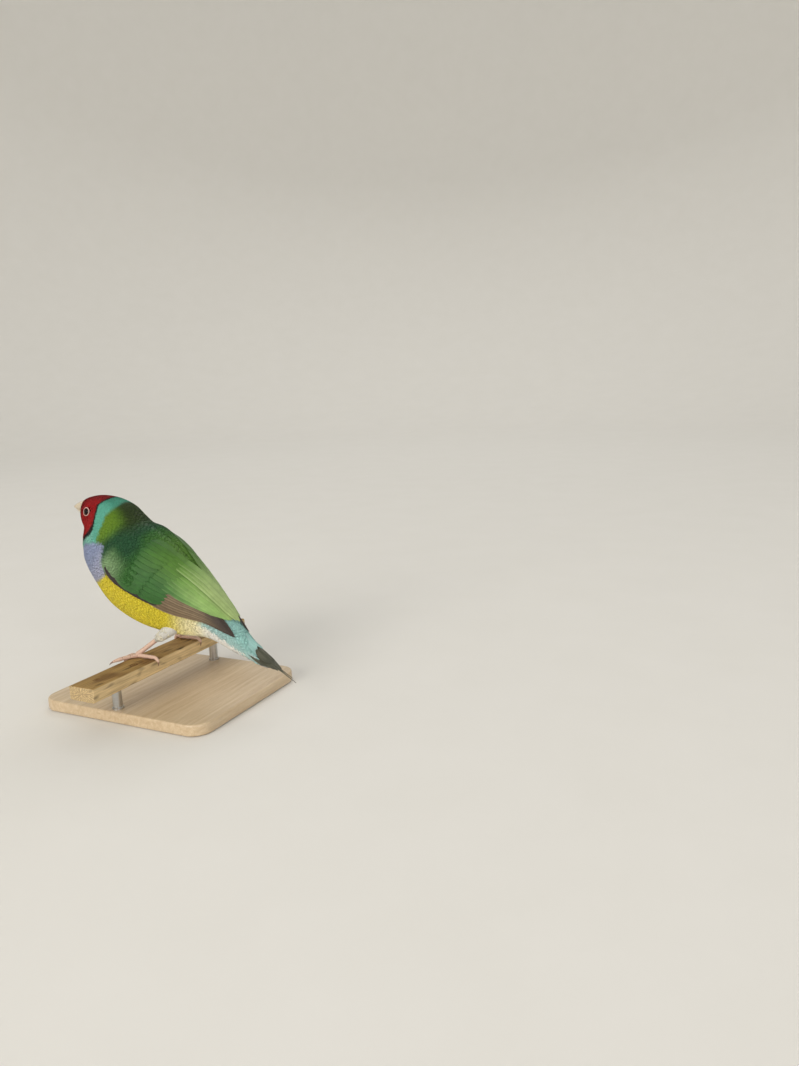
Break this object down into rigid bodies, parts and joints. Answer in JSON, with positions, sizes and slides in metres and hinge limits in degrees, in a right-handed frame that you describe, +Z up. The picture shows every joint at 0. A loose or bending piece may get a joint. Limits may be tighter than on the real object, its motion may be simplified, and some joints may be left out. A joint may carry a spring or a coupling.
{
  "type": "gouldian finch",
  "caption": "Male Gouldian finch with a red face, violet breast and yellow belly, gripping a short wooden perch on a display stand",
  "frame": {"origin": "middle of the whole model's box, at the underside of the stand's base", "axes": "+Z up; the bird faces -X with its left side towards -Y, and the perch runs along Y"},
  "size_m": [0.1163, 0.1, 0.0903],
  "materials": {
    "feathers_red": "soft satin feathers",
    "feathers_green": "soft satin feathers",
    "feathers_yellow": "soft satin feathers",
    "feathers_dark": "satin flight and tail feathers",
    "bill": "satin horn",
    "eye": "wet gloss",
    "skin": "matt scaly skin",
    "perch_wood": "raw, weathered and stained",
    "stand_wood": "satin varnish",
    "stand_metal": "brushed"
  },
  "bodies": {
    "root": {"head": "feathers_red", "neck": "feathers_green", "torso": "feathers_yellow", "tail": "feathers_dark", "wing_left": "feathers_green", "wing_right": "feathers_green", "bill_upper": "bill", "bill_lower": "bill", "eye_left": "eye", "eye_right": "eye", "leg_left": "skin", "leg_right": "skin", "foot_left": "skin", "foot_right": "skin", "perch": "perch_wood", "stand_base": "stand_wood", "stand_rod_left": "stand_metal", "stand_rod_right": "stand_metal"}
  },
  "joints": []
}
